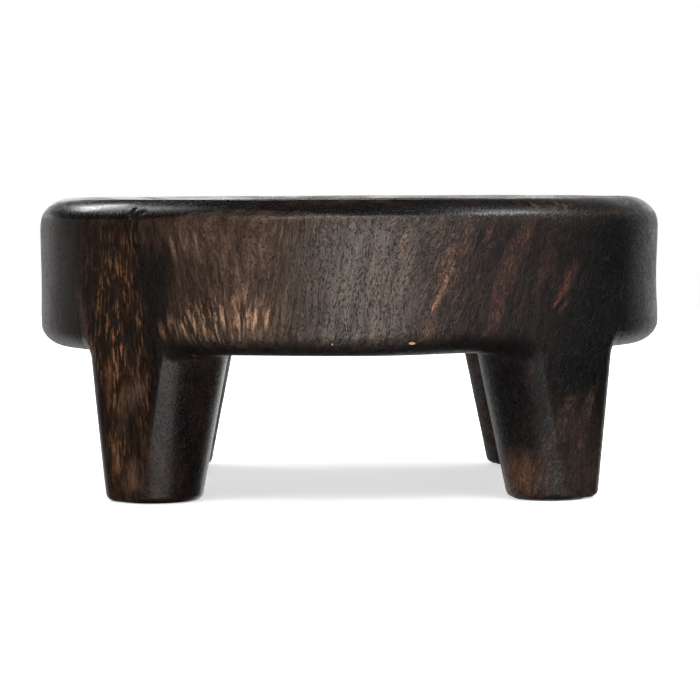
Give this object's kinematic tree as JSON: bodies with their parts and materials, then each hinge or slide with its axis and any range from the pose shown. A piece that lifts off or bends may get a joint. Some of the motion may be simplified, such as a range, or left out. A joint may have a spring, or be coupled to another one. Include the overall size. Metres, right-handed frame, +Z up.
{
  "type": "carved wooden bowl",
  "caption": "Round thick-walled carved wooden bowl on stout tapered legs, with soft pads under the feet.",
  "frame": {"origin": "on the floor, under the middle of the bowl, level with the undersides of the pads", "axes": "+Z up along the bowl's own axis, -Y to the front, +X to the right; the legs stand on the diagonals"},
  "size_m": [0.4499, 0.45, 0.209],
  "materials": {
    "dark_wood": "dark brown stained open-pored hardwood, hand rubbed to a satin wax sheen",
    "felt": "matt pressed wool felt"
  },
  "bodies": {
    "root": {"carved_bowl": "dark_wood", "pad_front_left": "felt", "pad_front_right": "felt", "pad_rear_left": "felt", "pad_rear_right": "felt"}
  },
  "joints": []
}
